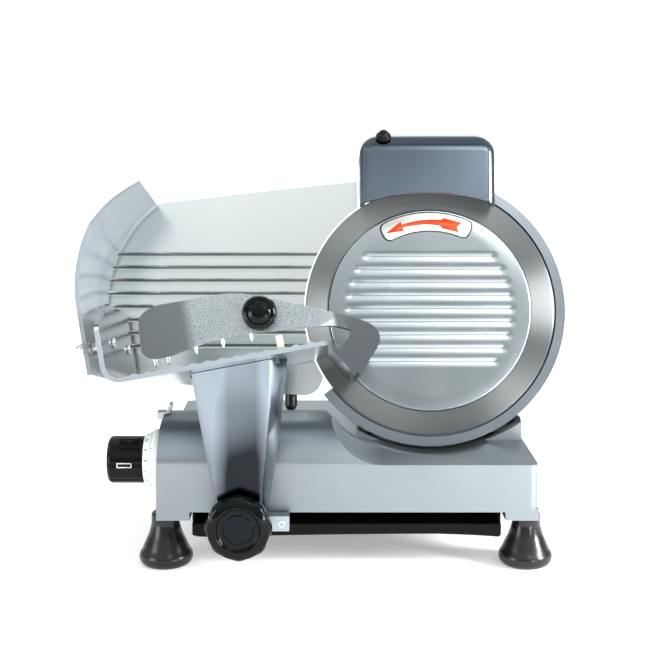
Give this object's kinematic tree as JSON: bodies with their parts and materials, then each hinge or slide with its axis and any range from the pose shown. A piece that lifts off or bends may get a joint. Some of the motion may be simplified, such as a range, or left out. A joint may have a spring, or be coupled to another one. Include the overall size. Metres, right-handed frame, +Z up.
{
  "type": "meat slicer",
  "caption": "Deli meat slicer: tilted round blade, ribbed gauge plate, sliding tray with clear guard and pusher, thickness dial, sharpener.",
  "frame": {"origin": "on the table, under the middle of the bounding box", "axes": "+Z up, the operator stands at -Y, the food tray travels along +X"},
  "size_m": [0.47, 0.4062, 0.4126],
  "materials": {
    "casting": "satin",
    "polished": "bright anodised",
    "blade_steel": "ground and polished",
    "steel": "turned",
    "gloss_black": "gloss",
    "rubber": "satin",
    "black_paint": "satin",
    "white_plastic": "satin",
    "nylon": "satin",
    "brass": "turned",
    "stone": "rough abrasive",
    "belt_rubber": "matte",
    "motor_paint": "satin",
    "green": "gloss",
    "red": "gloss",
    "clear": "clear"
  },
  "bodies": {
    "frame": {"base_casting": "casting", "bottom_cover": "black_paint", "foot_front_left": "rubber", "foot_front_right": "rubber", "foot_rear_left": "rubber", "foot_rear_right": "rubber", "blade_housing": "casting", "blade_cover": "polished", "cover_tie_rod": "steel", "bearing_front": "steel", "bearing_rear": "steel", "drive_belt": "belt_rubber", "motor_body": "motor_paint", "motor_bracket": "steel", "capacitor": "white_plastic", "switch_box": "black_paint", "cable_gland": "rubber", "sharpener_post": "steel", "gauge_guide_rod": "steel", "dial_pointer": "casting", "carriage_rod": "steel", "guide_bar": "steel"},
    "blade_group": {"blade": "blade_steel", "blade_shaft": "steel", "blade_pulley": "steel"},
    "motor_group": {"motor_rotor": "steel", "motor_pulley": "steel"},
    "cover_knob": {"cover_knob": "gloss_black"},
    "start_button": {"start_button": "green"},
    "stop_button": {"stop_button": "red"},
    "sharpener": {"sharpener_housing": "casting"},
    "sharpener_knob": {"sharpener_knob": "gloss_black"},
    "deburr_spindle": {"deburr_spindle": "gloss_black"},
    "deburring_stone": {"deburring_stone": "stone"},
    "grind_spindle": {"grind_spindle": "gloss_black"},
    "grinding_stone": {"grinding_stone": "stone"},
    "gauge": {"gauge_plate": "polished", "gauge_arm": "casting", "gauge_bumper": "rubber", "cam_follower": "steel"},
    "dial": {"dial_knob": "gloss_black", "dial_collar": "white_plastic", "dial_shaft": "steel"},
    "carriage": {"slide_block": "casting", "bushing_left": "brass", "bushing_right": "brass", "tray_arm": "casting", "tray": "polished", "clear_guard": "clear", "guard_bolt_front": "steel", "guard_bolt_rear": "steel", "guard_nut_front": "steel", "guard_nut_rear": "steel", "pusher_rod": "steel", "pusher_rest": "nylon"},
    "star_knob": {"star_knob": "gloss_black"},
    "pusher_hub": {"pusher_bushing": "nylon"},
    "pusher": {"pusher_plate": "polished", "pusher_knob": "gloss_black"}
  },
  "joints": [
    {"name": "carriage_slide", "type": "slide", "parent": "frame", "child": "carriage", "axis": [1, 0, 0], "range_m": [0, 0.2]},
    {"name": "pusher_slide", "type": "slide", "parent": "carriage", "child": "pusher_hub", "axis": [0, 0.9703, -0.2419], "range_m": [0, 0.12]},
    {"name": "pusher_swing", "type": "hinge", "parent": "pusher_hub", "child": "pusher", "pos_m": [0.0268, -0.16497, 0.22897], "axis": [0, 0.9703, -0.2419], "range_deg": [0, 100]},
    {"name": "star_knob_turn", "type": "hinge", "parent": "carriage", "child": "star_knob", "pos_m": [-0.083, -0.1545, 0.061], "axis": [0, -1, 0], "range_deg": [0, 360]},
    {"name": "dial_turn", "type": "hinge", "parent": "frame", "child": "dial", "pos_m": [-0.191, -0.0645, 0.096], "axis": [1, 0, 0], "range_deg": [0, 300]},
    {"name": "gauge_slide", "type": "slide", "parent": "frame", "child": "gauge", "axis": [0, 0.9703, -0.2419], "range_m": [0, 0.012]},
    {"name": "blade_spin", "type": "hinge", "parent": "frame", "child": "blade_group", "pos_m": [0.099, 0.0105, 0.23], "axis": [0, -0.9703, 0.2419], "continuous": true},
    {"name": "motor_spin", "type": "hinge", "parent": "frame", "child": "motor_group", "pos_m": [0.124, 0.07895, 0.13254], "axis": [0, -0.9703, 0.2419], "continuous": true},
    {"name": "cover_knob_turn", "type": "hinge", "parent": "frame", "child": "cover_knob", "pos_m": [0.099, 0.19, 0.18524], "axis": [0, 0.9703, -0.2419], "range_deg": [0, 360]},
    {"name": "sharpener_lift", "type": "slide", "parent": "frame", "child": "sharpener", "axis": [0, 0.2419, 0.9703], "range_m": [0, 0.03]},
    {"name": "sharpener_knob_turn", "type": "hinge", "parent": "sharpener", "child": "sharpener_knob", "pos_m": [0.052, 0.02884, 0.39997], "axis": [0, -0.5878, 0.809], "range_deg": [0, 360]},
    {"name": "deburr_press", "type": "slide", "parent": "sharpener", "child": "deburr_spindle", "axis": [0, 0.9703, -0.2419], "range_m": [0, 0.0025], "stiffness_N_per_m": 600, "springref_m": -0.002},
    {"name": "deburr_stone_spin", "type": "hinge", "parent": "deburr_spindle", "child": "deburring_stone", "pos_m": [0.095, 0.0446, 0.36676], "axis": [0, -0.9703, 0.2419], "continuous": true},
    {"name": "grind_press", "type": "slide", "parent": "sharpener", "child": "grind_spindle", "axis": [0, -0.9703, 0.2419], "range_m": [0, 0.0025], "stiffness_N_per_m": 600, "springref_m": -0.002},
    {"name": "grind_stone_spin", "type": "hinge", "parent": "grind_spindle", "child": "grinding_stone", "pos_m": [0.135, 0.04348, 0.36228], "axis": [0, -0.9703, 0.2419], "continuous": true},
    {"name": "start_press", "type": "slide", "parent": "frame", "child": "start_button", "axis": [-1, 0, 0], "range_m": [0, 0.003], "stiffness_N_per_m": 400, "springref_m": -0.001},
    {"name": "stop_press", "type": "slide", "parent": "frame", "child": "stop_button", "axis": [-1, 0, 0], "range_m": [0, 0.003], "stiffness_N_per_m": 400, "springref_m": -0.001}
  ],
  "couplings": [
    {"joint": "dial_turn", "follows": "gauge_slide", "rad_per_m": 436.33},
    {"joint": "motor_spin", "follows": "blade_spin", "ratio": 3.3333}
  ]
}
